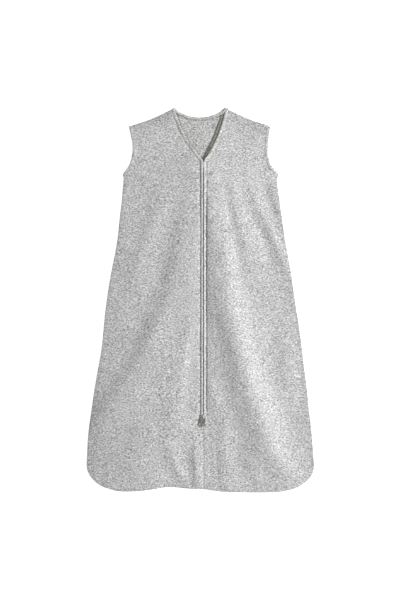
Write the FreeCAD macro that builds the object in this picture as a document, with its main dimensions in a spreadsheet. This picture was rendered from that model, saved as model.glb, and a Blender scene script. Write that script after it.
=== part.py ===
import FreeCAD, Part
import os
import re
import Sketcher

# Baby sleeping bag, lying on its back: a sleeveless single-layer knit bag with
# a V neck, closed by an upside-down separating coil zip under two fabric lips.
# Millimetres.  +X is the viewer's right, +Y runs to the neck, +Z is the front.
# The origin is the middle of the underside of the bag's overall box.

DIMENSIONS = {
    # the bag's outline, half widths measured from the middle of the bag
    "bag_length": (750, "hem to neck points"),
    "neck_half": (50, "neck point from the middle"),
    "neck_dip": (17.5, "back neck edge below the neck points"),
    "shoulder_half": (137, "shoulder tip from the middle"),
    "shoulder_drop": (38, "shoulder tip below the neck points"),
    "armhole_half": (131, "narrowest place between the armholes"),
    "armhole_drop": (83, "narrowest place below the neck points"),
    "armpit_half": (151, "armpit from the middle"),
    "armpit_drop": (129, "armpit below the neck points"),
    "hip_half": (213.5, "end of the straight side seam"),
    "hip_rise": (150, "end of the straight side seam above the hem"),
    "widest_half": (220.5, "widest place from the middle"),
    "corner_radius": (63, "radius of the bottom corners"),
    "corner_share": (0.293, "part of the radius cut off at the middle of a corner"),
    "hip_bulge": (2, "side seam's bow between hip and widest place"),
    # thickness and loft
    "cloth": (1.5, "one layer of knit, with its drape"),
    "loft": (15, "top of the front above the surface it lies on"),
    "hem_slope": (36, "run of the front's slope at the hem"),
    "hip_slope": (38, "run of the front's slope at the hip"),
    "corner_slope": (30, "run of the front's slope at the corner"),
    "armpit_slope": (10, "run of the front's slope at the armpit"),
    "neck_slope": (23, "run of the front's slope at the neck points"),
    "armpit_lag": (0.8, "the armpit's slope along the bag, of its slope across"),
    "hip_lag": (0.3, "the same for the hip"),
    "corner_lag": (0.4, "the same for a bottom corner's lower end"),
    # neck, armholes and zip line
    "zip_offset": (7.5, "zip line from the middle of the bag"),
    "neck_drop": (103.5, "bottom of the V below the neck points"),
    "neck_bow_left": (28, "left V edge from the middle of the bag, halfway up"),
    "neck_bow_right": (34, "right V edge from the middle of the bag, halfway up"),
    "neck_bow_rise": (48.5, "the same places above the bottom of the V"),
    "binding": (6, "width of the neck binding"),
    "armhole_band": (6.5, "width of the armhole binding"),
    "zip_end": (232, "lower end of the folds, below the origin"),
    "slot_half": (7.6, "half width of the slot in the front"),
    "slot_end": (244.5, "lower end of the slot, below the origin"),
    # folds of the two lapels
    "fold_top": (345, "upper end of both fold lines"),
    "fold_left": (40, "left fold's upper end, left of the origin"),
    "fold_right": (43, "right fold's upper end, right of the origin"),
    "fold_gap": (0.3, "gap between a lapel and the fixed front"),
    # lips over the zip
    "lip_outer": (7.3, "outer face of a lip from the zip line"),
    "lip_inner": (1.5, "inner edge of a lip from the zip line"),
    "lip_wall": (1.4, "thickness of a lip"),
    "lip_top": (17.4, "top of the lips"),
    "eye_half": (4, "half width of the lips' opening at the slider"),
    "eye_reach": (9, "half length of that opening"),
    # zip chain
    "zip_plane": (12.9, "height of the chain's middle plane"),
    "tape_outer": (15, "outer edge of the tape from the zip line"),
    "tape_top": (270.5, "upper end of the tape"),
    "tape_end": (243, "lower end of the tape, below the origin"),
    "tape_thick": (0.5, "thickness of the tape"),
    "coil_inner": (0.15, "inner face of a coil from the zip line"),
    "coil_outer": (2.3, "outer face of a coil from the zip line"),
    "coil_spread": (1.1, "outward shift of a coil at the slider's wedge"),
    "wedge_drop": (4, "where a coil is fully spread, below the slider's middle"),
    "bend_rise": (2, "where a coil starts to spread, above the slider's middle"),
    "coil_height": (2.4, "height of a coil"),
    "coil_top": (244.6, "upper end of the coils"),
    "coil_end": (239.8, "lower end of the coils, below the origin"),
    # slider and pull
    "slider_rest": (227, "slider's middle with the zip closed, below the origin"),
    "slider_reach": (8.5, "half length of the slider"),
    "slider_wide": (4.9, "half width at the end with the wedge"),
    "slider_narrow": (3.9, "half width at the other end"),
    "slider_height": (4.6, "over both plates"),
    "channel_height": (2.8, "between the plates"),
    "tape_way": (1.2, "height of the slots for the tape"),
    "coil_room": (0.2, "gap between a coil and the channel's side"),
    "wedge_half": (1, "half width of the wedge between the coils"),
    "wedge_gap": (0.5, "wedge's ends short of the bend and of the slider's end"),
    "crown_width": (2.4, "width of the bridge on the slider"),
    "crown_height": (5.3, "height of the bridge over the top plate"),
    "crown_low": (5, "bridge's lower foot from the slider's middle"),
    "crown_high": (4.5, "bridge's upper foot from the slider's middle"),
    "crown_round": (1.5, "radius of the bridge's shoulders"),
    "crown_foot": (1.4, "length of the bridge's lower foot"),
    "crown_root": (2, "length of the bridge's upper foot"),
    "crown_roof": (1.1, "thickness of the bridge over the bar"),
    "spring_width": (1.8, "width of the lock spring"),
    "spring_length": (4.4, "length of the lock spring"),
    "spring_thick": (0.5, "thickness of the lock spring"),
    "spring_rise": (0.7, "lock spring's underside above the top plate"),
    "spring_drop": (3.2, "lock spring's lower end below the slider's middle"),
    "pull_yaw": (13, "turn of the pull towards the left, in degrees"),
    "pull_thick": (1.2, "thickness of the pull"),
    "pull_half": (4.5, "half width of the pull"),
    "pull_length": (17, "length of the pull below its bar"),
    "pull_shoulder": (4, "length of the pull's tapered top and of its round end"),
    "window_half": (2.3, "half width of the pull's window round the bridge"),
    "window_end": (5, "lower end of that window below the bar"),
    "pull_slot_half": (1.7, "half width of the pull's long hole"),
    "pull_slot_top": (9.5, "start of that hole's straight sides below the bar"),
    "pull_slot_end": (12.5, "end of that hole's straight sides below the bar"),
    "pull_bar": (1.4, "width of the bar inside the bridge"),
    "pull_pivot_drop": (2.2, "bar below the slider's middle"),
    "pull_pivot_rise": (3.2, "bar above the top plate"),
    # separable end
    "box_top": (269.5, "upper end of the retainer box"),
    "box_length": (10, "length of the retainer box"),
    "box_half": (3.6, "half width of the retainer box"),
    "box_height": (3.4, "height of the retainer box"),
    "box_wall": (1.5, "end wall of the retainer box"),
    "socket_half": (2.6, "half width of the box's socket"),
    "socket_half_height": (1, "half height of the box's socket"),
    "pin_radius": (0.8, "radius of both pins"),
    "pin_offset": (1.3, "axis of a pin from the zip line"),
    "pin_top": (267, "upper end of the pins"),
    "pin_length": (22, "length of the pins"),
    # small pieces
    "stop_length": (2.2, "length of a bottom stop"),
    "stop_gap": (0.3, "gap between a coil and its bottom stop"),
    "stop_outer": (3.1, "outer face of a bottom stop from the zip line"),
    "facing_half": (20, "half width of the facing behind the centre seam"),
    "facing_end": (335, "lower end of the facing, below the origin"),
    "tack_half": (5, "half length of the bar tack"),
    "tack_drop": (247.4, "bar tack's middle, below the origin"),
    "tack_width": (1.8, "width of the bar tack"),
    "tack_height": (0.5, "height of the bar tack"),
    # working allowance of the cutting blocks
    "spare": (30, "how far a cutting block reaches past the cloth"),
    "cut_flare": (4, "widening of a cutting block over that reach"),
}

NEAR = 1e-6

doc = FreeCAD.newDocument("baby_sleeping_bag")
sub_parts = []


# ---------------------------------------------------------------- helpers

def make_sheet():
    """Write every dimension into the spreadsheet under its alias."""
    page = doc.addObject("Spreadsheet::Sheet", "Dims")
    for row, (alias, (size, note)) in enumerate(DIMENSIONS.items(), start=1):
        page.set(f"A{row}", alias)
        page.set(f"B{row}", str(size))
        page.setAlias(f"B{row}", alias)
        page.set(f"C{row}", note)
    doc.recompute()
    return page


sheet = make_sheet()


def bound(formula):
    """Spell a formula written in aliases as an expression on the sheet."""
    return re.sub(r"[a-z][a-z_]*", r"Dims.\g<0>", formula)


def value(formula):
    """Work out a formula's present value."""
    return float(sheet.evalExpression(bound(formula)))


def bind(thing, **formulas):
    """Bind properties of a document object to formulas."""
    for name, formula in formulas.items():
        thing.setExpression(name, bound(formula))


def place(thing, x="0", y="0", z="0"):
    """Bind the position of a document object."""
    for axis, formula in zip("xyz", (x, y, z)):
        thing.setExpression(f"Placement.Base.{axis}", bound(formula))


def keep(thing, label):
    """Mark a document object as one of the bag's sub-parts."""
    thing.Label = label
    sub_parts.append(thing)
    return thing


def point(formulas):
    return FreeCAD.Vector(value(formulas[0]), value(formulas[1]), 0)


def which_end(sketch, edge, corner):
    """Number of the edge's end that lies on the corner."""
    return 1 if sketch.getPoint(edge, 1).distanceToPoint(corner) < NEAR else 2


def fix(sketch, geometry, end, formulas):
    """Hold one point of a sketch at two formulas."""
    for kind, formula in zip(("DistanceX", "DistanceY"), formulas):
        rule = Sketcher.Constraint(kind, -1, 1, geometry, end, value(formula))
        number = sketch.addConstraint(rule)
        sketch.setExpression(f"Constraints[{number}]", bound(formula))


def draw(sketch, path):
    """Draw a closed profile.

    Every step ends at its last two formulas; a step of four formulas is an
    arc that passes through its first two.  The first step starts where the
    last one ends.
    """
    corners = [point(step[-2:]) for step in path]
    edges = []
    for number, step in enumerate(path):
        start, end = corners[number - 1], corners[number]
        if len(step) == 2:
            edges.append(sketch.addGeometry(Part.LineSegment(start, end)))
            continue
        edges.append(sketch.addGeometry(Part.Arc(start, point(step[:2]), end)))
        middle = sketch.addGeometry(Part.Point(point(step[:2])), True)
        fix(sketch, middle, 1, step[:2])
        sketch.addConstraint(Sketcher.Constraint("PointOnObject", middle, 1, edges[-1]))
    for number, step in enumerate(path):
        here, following = edges[number], edges[(number + 1) % len(edges)]
        end = which_end(sketch, here, corners[number])
        start = which_end(sketch, following, corners[number])
        sketch.addConstraint(Sketcher.Constraint("Coincident", here, end, following, start))
        fix(sketch, here, end, step[-2:])


def minus(formula):
    return f"-({formula})"


def mirrored(path):
    """A path's mirror image across the middle, walked the other way round."""
    corners = [step[-2:] for step in path]
    image = []
    for number in reversed(range(1, len(path))):
        goal = corners[number - 1]
        via = path[number][:-2]
        turned = (minus(via[0]), via[1]) if via else ()
        image.append((*turned, minus(goal[0]), goal[1]))
    return image


def shifted(path, offset):
    """A path moved along X by a formula."""
    moved = []
    for step in path:
        moved.append(tuple(f"{offset} + {term}" if number % 2 == 0 else term
                           for number, term in enumerate(step)))
    return moved


def flipped(path):
    """A path's mirror image across X = 0, in the same order."""
    return [tuple(minus(term) if number % 2 == 0 else term
                  for number, term in enumerate(step)) for step in path]


def flat_sketch(name, path, z="0"):
    """A free-standing sketch parallel to XY at a height."""
    sketch = doc.addObject("Sketcher::SketchObject", name)
    draw(sketch, path)
    place(sketch, z=z)
    return sketch


def extrusion(name, base, length, z="0"):
    """A solid raised from a flat sketch or offset."""
    solid = doc.addObject("Part::Extrusion", name)
    solid.Base = base
    solid.DirMode = "Custom"
    solid.Dir = FreeCAD.Vector(0, 0, 1)
    solid.Solid = True
    bind(solid, LengthFwd=length)
    place(solid, z=z)
    return solid


def widened(name, sketch, amount):
    """The area of a sketch grown by an amount, with sharp corners."""
    grown = doc.addObject("Part::Offset2D", name)
    grown.Source = sketch
    grown.Join = "Intersection"
    bind(grown, Value=amount)
    return grown


def box(name, x, y, z, sizes):
    """A Part::Box from its low corner and its three sizes."""
    block = doc.addObject("Part::Box", name)
    bind(block, Length=sizes[0], Width=sizes[1], Height=sizes[2])
    place(block, x, y, z)
    return block


def cut(name, base, tool):
    result = doc.addObject("Part::Cut", name)
    result.Base = base
    result.Tool = tool
    return result


def common(name, base, tool):
    result = doc.addObject("Part::Common", name)
    result.Base = base
    result.Tool = tool
    return result


def fuse(name, shapes):
    result = doc.addObject("Part::MultiFuse", name)
    result.Shapes = shapes
    return result


def new_body(label, x="0", y="0", z="0"):
    body = doc.addObject("PartDesign::Body", label)
    place(body, x, y, z)
    return keep(body, label)


def body_sketch(body, role, name, paths, lift="0"):
    """A sketch on one of the body's own planes."""
    sketch = body.newObject("Sketcher::SketchObject", name)
    plane = next(item for item in body.Origin.OriginFeatures if item.Role == role)
    sketch.AttachmentSupport = [(plane, "")]
    sketch.MapMode = "FlatFace"
    sketch.setExpression("AttachmentOffset.Base.z", bound(lift))
    for path in paths:
        draw(sketch, path)
    return sketch


def pad(body, sketch, length, name, both_ways=False):
    feature = body.newObject("PartDesign::Pad", name)
    feature.Profile = sketch
    bind(feature, Length=length)
    if both_ways:
        feature.SideType = "Symmetric"
    doc.recompute()
    return feature


def pocket(body, sketch, length, name, both_ways=False):
    """Cut a sketch out of the body, and make sure that it removed something."""
    before = body.Shape.Volume
    feature = body.newObject("PartDesign::Pocket", name)
    feature.Profile = sketch
    bind(feature, Length=length)
    if both_ways:
        feature.SideType = "Symmetric"
    doc.recompute()
    if body.Shape.Volume >= before - NEAR:
        raise RuntimeError(f"{name} cuts nothing")
    return feature


def rectangle(low_x, low_y, high_x, high_y):
    return [(high_x, low_y), (high_x, high_y), (low_x, high_y), (low_x, low_y)]


# ---------------------------------------------------------------- outlines

RIGHT_OF_BAG = [
    ("neck_half", "bag_length / 2"),
    ("shoulder_half", "bag_length / 2 - shoulder_drop"),
    ("armhole_half", "bag_length / 2 - armhole_drop",
     "armpit_half", "bag_length / 2 - armpit_drop"),
    ("hip_half", "hip_rise - bag_length / 2"),
    ("(hip_half + widest_half) / 2 + hip_bulge",
     "(hip_rise + corner_radius) / 2 - bag_length / 2",
     "widest_half", "corner_radius - bag_length / 2"),
    ("widest_half - corner_share * corner_radius",
     "corner_share * corner_radius - bag_length / 2",
     "widest_half - corner_radius", "-bag_length / 2"),
]


def back_outline():
    """The back's outline, with its shallow neck curve closing it at the top."""
    left = mirrored(RIGHT_OF_BAG)
    hem = ("corner_radius - widest_half", "-bag_length / 2")
    neck = ("0", "bag_length / 2 - neck_dip", "neck_half", "bag_length / 2")
    return RIGHT_OF_BAG[1:] + [hem] + left + [neck]


def front_outline(raised):
    """The front's outline where it meets the back, or round its raised top.

    The armholes are straight here, because they are cut out afterwards.
    """
    slope = {name: name if raised else "0" for name in
             ("neck_slope", "armpit_slope", "hip_slope", "corner_slope", "hem_slope")}
    right = [
        ("neck_half", f"bag_length / 2 - {slope['neck_slope']}"),
        (f"shoulder_half - {slope['armpit_slope']}",
         f"bag_length / 2 - shoulder_drop - {slope['neck_slope']}"),
        (f"armpit_half - {slope['armpit_slope']}",
         f"bag_length / 2 - armpit_drop - armpit_lag * {slope['armpit_slope']}"),
        (f"hip_half - {slope['hip_slope']}",
         f"hip_rise - bag_length / 2 + hip_lag * {slope['hip_slope']}"),
        (f"(hip_half + widest_half) / 2 + hip_bulge - {slope['hip_slope']}",
         f"(hip_rise + corner_radius) / 2 - bag_length / 2 + hip_lag * {slope['hip_slope']}",
         f"widest_half - {slope['hip_slope']}",
         f"corner_radius - bag_length / 2 + hip_lag * {slope['hip_slope']}"),
        (f"widest_half - corner_share * corner_radius - {slope['corner_slope']}",
         f"corner_share * corner_radius - bag_length / 2 + {slope['corner_slope']}",
         f"widest_half - corner_radius - corner_lag * {slope['corner_slope']}",
         f"-bag_length / 2 + {slope['hem_slope']}"),
    ]
    hem = (minus(right[-1][-2]), right[-1][-1])
    return right[1:] + [hem] + mirrored(right) + [right[0]]


def neck_outline():
    """The open V, carried on above the neck points."""
    foot = ("zip_offset", "bag_length / 2 - neck_drop")
    bow_height = "bag_length / 2 - neck_drop + neck_bow_rise"
    return [
        ("neck_bow_right", bow_height, "neck_half", "bag_length / 2"),
        ("neck_half + cut_flare", "bag_length / 2 + spare"),
        ("-neck_half - cut_flare", "bag_length / 2 + spare"),
        ("-neck_half", "bag_length / 2"),
        ("-neck_bow_left", bow_height, *foot),
    ]


def armhole_outline():
    """The right armhole, carried on past the side."""
    return [
        ("armhole_half", "bag_length / 2 - armhole_drop",
         "shoulder_half", "bag_length / 2 - shoulder_drop"),
        ("shoulder_half + spare", "bag_length / 2 - shoulder_drop + cut_flare"),
        ("armpit_half + spare", "bag_length / 2 - armpit_drop - 2 * cut_flare"),
        ("armpit_half", "bag_length / 2 - armpit_drop"),
    ]


def fold_outline(top_x):
    """The wedge of the front between the zip line and one fold line."""
    return [
        (top_x, "fold_top"),
        ("zip_offset", "fold_top"),
        ("zip_offset", "-zip_end"),
    ]


def fold_way(top_x, outward):
    """The same wedge with the gap added to it; outward is the sign of the fold's side."""
    return [
        (f"{top_x} {outward} fold_gap", "fold_top + fold_gap"),
        ("zip_offset", "fold_top + fold_gap"),
        ("zip_offset", "-zip_end - fold_gap"),
        (f"zip_offset {outward} fold_gap", "-zip_end - fold_gap"),
    ]


# ---------------------------------------------------------------- cloth

def make_front_block():
    """The hollow front: a sloped block less the same block one cloth lower."""
    foot = flat_sketch("front_foot", front_outline(raised=False), "cloth")
    top = flat_sketch("front_top", front_outline(raised=True), "loft")
    outer = doc.addObject("Part::Loft", "front_outer")
    outer.Sections = [foot, top]
    outer.Solid = True
    outer.Ruled = True
    inner = doc.addObject("Part::Loft", "front_inner")
    inner.Sections = [foot, top]
    inner.Solid = True
    inner.Ruled = True
    place(inner, z="-cloth")
    flat_block = extrusion("flat_block", top, "loft + spare", "-spare")
    return cut("front_shell", outer, inner), flat_block


def make_cutters():
    """Every block that divides the cloth, by name."""
    height = "loft + spare"
    floor = "-spare / 2"
    neck = flat_sketch("neck_edge", neck_outline())
    armhole_right = flat_sketch("armhole_edge_right", armhole_outline())
    armhole_left = flat_sketch("armhole_edge_left", flipped(armhole_outline()))
    lapel_left = flat_sketch("lapel_area_left", fold_outline("-fold_left"))
    lapel_right = flat_sketch("lapel_area_right", fold_outline("fold_right"))
    areas = {
        "neck": neck,
        "neck_seam": widened("neck_seam", neck, "binding"),
        "armhole_left": armhole_left,
        "armhole_seam_left": widened("armhole_seam_left", armhole_left, "armhole_band"),
        "armhole_right": armhole_right,
        "armhole_seam_right": widened("armhole_seam_right", armhole_right, "armhole_band"),
        "lapel_left": lapel_left,
        "lapel_way_left": flat_sketch("lapel_way_left", fold_way("-fold_left", "-")),
        "lapel_right": lapel_right,
        "lapel_way_right": flat_sketch("lapel_way_right", fold_way("fold_right", "+")),
    }
    blocks = {name: extrusion(f"{name}_block", area, height, floor)
              for name, area in areas.items()}
    blocks["slot"] = box("slot_block", "zip_offset - slot_half", "-slot_end", floor,
                         ("2 * slot_half", "slot_end + bag_length / 2", height))
    blocks["left_half"] = box("left_half_block", "-widest_half - spare",
                              "-bag_length / 2 - spare", floor,
                              ("widest_half + spare + zip_offset",
                               "bag_length + 2 * spare", height))
    return blocks


def make_back(blocks):
    """Back panel with the shallow neck and both armholes taken back to the seams."""
    sheet_of_cloth = extrusion("back_sheet", flat_sketch("back_edge", back_outline()), "cloth")
    neck = widened("back_neck_seam", flat_sketch("back_neck_edge", back_neck_outline()), "binding")
    neck_block = extrusion("back_neck_block", neck, "loft + spare", "-spare / 2")
    seams = fuse("back_seams", [neck_block, blocks["armhole_seam_left"],
                                blocks["armhole_seam_right"]])
    keep(cut("back_panel", sheet_of_cloth, seams), "back_panel")
    return sheet_of_cloth, neck_block


def back_neck_outline():
    """The space above the back neck edge."""
    return [
        ("0", "bag_length / 2 - neck_dip", "neck_half", "bag_length / 2"),
        ("neck_half", "bag_length / 2 + spare"),
        ("-neck_half", "bag_length / 2 + spare"),
        ("-neck_half", "bag_length / 2"),
    ]


def make_front(shell, flat_block, blocks):
    """Front panels, their sloping edges and the lapels, up to the seams and the slot."""
    openings = fuse("front_openings", [blocks["neck_seam"], blocks["armhole_seam_left"],
                                       blocks["armhole_seam_right"], blocks["slot"]])
    cloth = cut("front_cloth", shell, openings)
    left = common("front_left_half", cloth, blocks["left_half"])
    right = cut("front_right_half", cloth, blocks["left_half"])
    for side, half in (("left", left), ("right", right)):
        fixed = cut(f"front_{side}_fixed", half, blocks[f"lapel_way_{side}"])
        for piece, divide in (("panel", common), ("edge", cut)):
            label = f"front_{side}_{piece}"
            keep(divide(label, fixed, flat_block), label)
        lapel = common(f"front_{side}_lapel", cloth, blocks[f"lapel_{side}"])
        keep(lapel, f"front_{side}_lapel")


def make_neck_binding(shell, back_sheet, back_neck_block, blocks):
    """Binding round the neck: a fixed stretch, and one on each lapel."""
    open_front = fuse("neck_opening", [blocks["neck"], blocks["slot"]])
    strip = common("neck_strip", cut("neck_shell", shell, open_front), blocks["neck_seam"])
    lapel_ways = fuse("lapel_ways", [blocks["lapel_way_left"], blocks["lapel_way_right"]])
    front_ends = cut("neck_front_ends", strip, lapel_ways)
    back_strip = common("neck_back_strip", back_sheet, back_neck_block)
    keep(fuse("neck_binding_back", [back_strip, front_ends]), "neck_binding_back")
    keep(common("neck_binding_left", strip, blocks["lapel_left"]), "neck_binding_left")
    keep(common("neck_binding_right", strip, blocks["lapel_right"]), "neck_binding_right")


def make_armhole_binding(side, shell, back_sheet, blocks):
    """Binding all round one armhole, on the front and on the back."""
    layers = []
    for layer, base in (("front", shell), ("back", back_sheet)):
        edge = cut(f"armhole_{layer}_{side}", base, blocks[f"armhole_{side}"])
        layers.append(common(f"armhole_{layer}_strip_{side}", edge,
                             blocks[f"armhole_seam_{side}"]))
    keep(fuse(f"armhole_binding_{side}", layers), f"armhole_binding_{side}")


def make_centre_pieces():
    """Facing behind the centre seam, and the bar tack under the zip."""
    keep(box("centre_facing", "zip_offset - facing_half", "-facing_end", "loft - 2 * cloth",
             ("2 * facing_half", "facing_end - slot_end - 1", "cloth")), "centre_facing")
    keep(box("bar_tack", "zip_offset - tack_half", "-tack_drop - tack_width / 2", "loft",
             ("2 * tack_half", "tack_width", "tack_height")), "bar_tack")


# ---------------------------------------------------------------- zip

def sided(side, path):
    """A path drawn for the right side, for either side of the zip line."""
    turned = flipped(path) if side == "left" else path
    return shifted(turned, "zip_offset")


def make_lip(side, blocks):
    """Folded fabric lip: a wall standing on the tape and a roof over the coil."""
    profile = [
        ("lip_outer", "tape_thick / 2"),
        ("lip_outer", "lip_top - zip_plane"),
        ("lip_inner", "lip_top - zip_plane"),
        ("lip_inner", "lip_top - zip_plane - lip_wall"),
        ("lip_outer - lip_wall", "lip_top - zip_plane - lip_wall"),
        ("lip_outer - lip_wall", "tape_thick / 2"),
    ]
    eye = [
        ("eye_half", "-slider_rest", "0", "eye_reach - slider_rest"),
        ("0", "-eye_reach - slider_rest"),
    ]
    body = doc.addObject("PartDesign::Body", f"lip_{side}")
    place(body, z="zip_plane")
    section = body_sketch(body, "XZ_Plane", f"lip_section_{side}",
                          [sided(side, profile)], "-(bag_length / 2 - neck_drop + binding * 2)")
    pad(body, section, "bag_length / 2 - neck_drop + binding * 2 + slot_end - 2 * fold_gap",
        f"lip_length_{side}")
    eye_sketch = body_sketch(body, "XY_Plane", f"lip_eye_{side}",
                             [sided(side, eye)], "loft - zip_plane + cloth")
    pocket(body, eye_sketch, "spare", f"lip_opening_{side}", both_ways=True)
    keep(cut(f"zip_lip_{side}", body, blocks["neck"]), f"zip_lip_{side}")


def make_tape(side):
    """Woven tape, notched round the retainer box and the spread coil."""
    clear = "box_half + fold_gap"
    path = [
        ("tape_outer", "tape_top"),
        (clear, "tape_top"),
        (clear, "box_top - box_length - 1"),
        ("coil_outer", "box_top - box_length - 1"),
        ("coil_outer", "bend_rise - slider_rest"),
        ("coil_outer + coil_spread", "-wedge_drop - slider_rest"),
        ("coil_outer + coil_spread", "-tape_end"),
        ("tape_outer", "-tape_end"),
    ]
    body = new_body(f"zip_tape_{side}", z="zip_plane")
    outline = body_sketch(body, "XY_Plane", f"tape_outline_{side}", [sided(side, path)])
    pad(body, outline, "tape_thick", f"tape_web_{side}", both_ways=True)


def make_coil(side):
    """Envelope of one row of coil, which runs round the slider's wedge."""
    path = [
        ("coil_outer", "coil_top"),
        ("coil_inner", "coil_top"),
        ("coil_inner", "bend_rise - slider_rest"),
        ("coil_inner + coil_spread", "-wedge_drop - slider_rest"),
        ("coil_inner + coil_spread", "-coil_end"),
        ("coil_outer + coil_spread", "-coil_end"),
        ("coil_outer + coil_spread", "-wedge_drop - slider_rest"),
        ("coil_outer", "bend_rise - slider_rest"),
    ]
    body = new_body(f"zip_coil_{side}", z="zip_plane")
    outline = body_sketch(body, "XY_Plane", f"coil_outline_{side}", [sided(side, path)])
    pad(body, outline, "coil_height", f"coil_row_{side}", both_ways=True)


def make_stop(side):
    """Metal stop at the lower end of one coil."""
    inner = "(coil_inner + coil_spread)"
    low_x = f"zip_offset + {inner}" if side == "right" else "zip_offset - stop_outer"
    keep(box(f"bottom_stop_{side}", low_x, "-coil_end - stop_length - stop_gap",
             "zip_plane - coil_height / 2",
             (f"stop_outer - {inner}", "stop_length", "coil_height")), f"bottom_stop_{side}")


def make_pin(label, side):
    """Round pin on the edge of the tape, which stands in the retainer box."""
    pin = doc.addObject("Part::Cylinder", label)
    bind(pin, Radius="pin_radius", Height="pin_length")
    along_zip = FreeCAD.Rotation(FreeCAD.Vector(1, 0, 0), 90)
    pin.Placement = FreeCAD.Placement(FreeCAD.Vector(0, 0, 0), along_zip)
    sign = "-" if side == "left" else "+"
    place(pin, f"zip_offset {sign} pin_offset", "pin_top", "zip_plane")
    keep(pin, label)


def make_retainer_box():
    """Box at the neck end; both pins stand in its socket, which opens downwards."""
    body = new_body("retainer_box", "zip_offset", "box_top", "zip_plane")
    outer = rectangle("-box_half", "-box_height / 2", "box_half", "box_height / 2")
    section = body_sketch(body, "XZ_Plane", "box_section", [outer])
    pad(body, section, "box_length", "box_block")
    socket = rectangle("-socket_half", "-socket_half_height", "socket_half", "socket_half_height")
    mouth = body_sketch(body, "XZ_Plane", "socket_section", [socket], "box_length")
    pocket(body, mouth, "box_length - box_wall", "pin_socket")


# ---------------------------------------------------------------- slider

def slider_outline():
    return [
        ("slider_narrow - 1", "slider_reach"),
        ("1 - slider_narrow", "slider_reach"),
        ("-slider_narrow", "slider_reach - 1"),
        ("-slider_wide", "-slider_reach / 4"),
        ("-slider_wide", "1 - slider_reach"),
        ("1 - slider_wide", "-slider_reach"),
        ("slider_wide - 1", "-slider_reach"),
        ("slider_wide", "1 - slider_reach"),
        ("slider_wide", "-slider_reach / 4"),
        ("slider_narrow", "slider_reach - 1"),
    ]


def make_slider_body():
    """Two plates joined by the wedge, with side flanges round the coils."""
    body = new_body("slider_body", "zip_offset", "-slider_rest", "zip_plane")
    plates = body_sketch(body, "XY_Plane", "slider_plan", [slider_outline()])
    pad(body, plates, "slider_height", "slider_block", both_ways=True)
    narrow, wide = "coil_outer + coil_room", "coil_outer + coil_spread + coil_room"
    channel = [
        (narrow, "slider_reach + spare"),
        (minus(narrow), "slider_reach + spare"),
        (minus(narrow), "bend_rise"),
        (minus(wide), "-wedge_drop"),
        (minus(wide), "-slider_reach - spare"),
        (wide, "-slider_reach - spare"),
        (wide, "-wedge_drop"),
        (narrow, "bend_rise"),
    ]
    wedge = [
        ("0", "wedge_gap"),
        ("-wedge_half", "-wedge_drop - wedge_gap"),
        ("-wedge_half", "-slider_reach + wedge_gap"),
        ("wedge_half", "-slider_reach + wedge_gap"),
        ("wedge_half", "-wedge_drop - wedge_gap"),
    ]
    ways = body_sketch(body, "XY_Plane", "channel_plan", [channel, wedge])
    pocket(body, ways, "channel_height", "coil_channel", both_ways=True)
    right_way = rectangle("coil_outer", "-tape_way / 2", "slider_wide + spare", "tape_way / 2")
    tape_ways = body_sketch(body, "XZ_Plane", "tape_section", [right_way, flipped(right_way)])
    pocket(body, tape_ways, "2 * slider_reach + 2", "tape_slots", both_ways=True)


def make_crown():
    """Bridge on the top plate, which holds the pull's bar."""
    body = new_body("slider_crown", "zip_offset", "-slider_rest",
                    "zip_plane + slider_height / 2")
    arch = [
        ("-crown_low", "crown_height - crown_round"),
        ("-crown_low + corner_share * crown_round", "crown_height - corner_share * crown_round",
         "-crown_low + crown_round", "crown_height"),
        ("crown_high - crown_round", "crown_height"),
        ("crown_high - corner_share * crown_round", "crown_height - corner_share * crown_round",
         "crown_high", "crown_height - crown_round"),
        ("crown_high", "0"),
        ("-crown_low", "0"),
    ]
    window = rectangle("-crown_low + crown_foot", "spring_rise", "crown_high - crown_root",
                       "crown_height - crown_roof")
    section = body_sketch(body, "YZ_Plane", "crown_section", [arch, window])
    pad(body, section, "crown_width", "crown_arch", both_ways=True)


def make_lock_spring():
    """Leaf spring inside the bridge, which locks the slider."""
    keep(box("slider_lock_spring", "zip_offset - spring_width / 2", "-slider_rest - spring_drop",
             "zip_plane + slider_height / 2 + spring_rise",
             ("spring_width", "spring_length", "spring_thick")), "slider_lock_spring")


def make_pull():
    """Flat pull hanging from its bar, turned a little to the left."""
    body = new_body("pull_tab", "zip_offset", "-slider_rest - pull_pivot_drop",
                    "zip_plane + slider_height / 2 + pull_pivot_rise")
    body.setExpression("Placement.Rotation.Angle", bound("-pull_yaw"))
    outer = [
        ("pull_half - 1", "pull_bar / 2"),
        ("1 - pull_half", "pull_bar / 2"),
        ("-pull_half", "-pull_shoulder"),
        ("-pull_half", "pull_shoulder - pull_length"),
        ("0", "-pull_length", "pull_half", "pull_shoulder - pull_length"),
        ("pull_half", "-pull_shoulder"),
    ]
    crown_way = rectangle("-window_half", "-window_end", "window_half", "-pull_bar / 2")
    slot = [
        ("pull_slot_half", "-pull_slot_top"),
        ("0", "pull_slot_half - pull_slot_top", "-pull_slot_half", "-pull_slot_top"),
        ("-pull_slot_half", "-pull_slot_end"),
        ("0", "-pull_slot_end - pull_slot_half", "pull_slot_half", "-pull_slot_end"),
    ]
    plan = body_sketch(body, "XY_Plane", "pull_plan", [outer, crown_way, slot])
    pad(body, plan, "pull_thick", "pull_plate", both_ways=True)


# ---------------------------------------------------------------- assembly

def build():
    shell, flat_block = make_front_block()
    blocks = make_cutters()
    back_sheet, back_neck_block = make_back(blocks)
    make_front(shell, flat_block, blocks)
    make_neck_binding(shell, back_sheet, back_neck_block, blocks)
    make_centre_pieces()
    for side in ("left", "right"):
        make_armhole_binding(side, shell, back_sheet, blocks)
        make_lip(side, blocks)
        make_tape(side)
        make_coil(side)
        make_stop(side)
    make_pin("insert_pin", "left")
    make_pin("retainer_pin", "right")
    make_retainer_box()
    make_slider_body()
    make_crown()
    make_lock_spring()
    make_pull()


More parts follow.
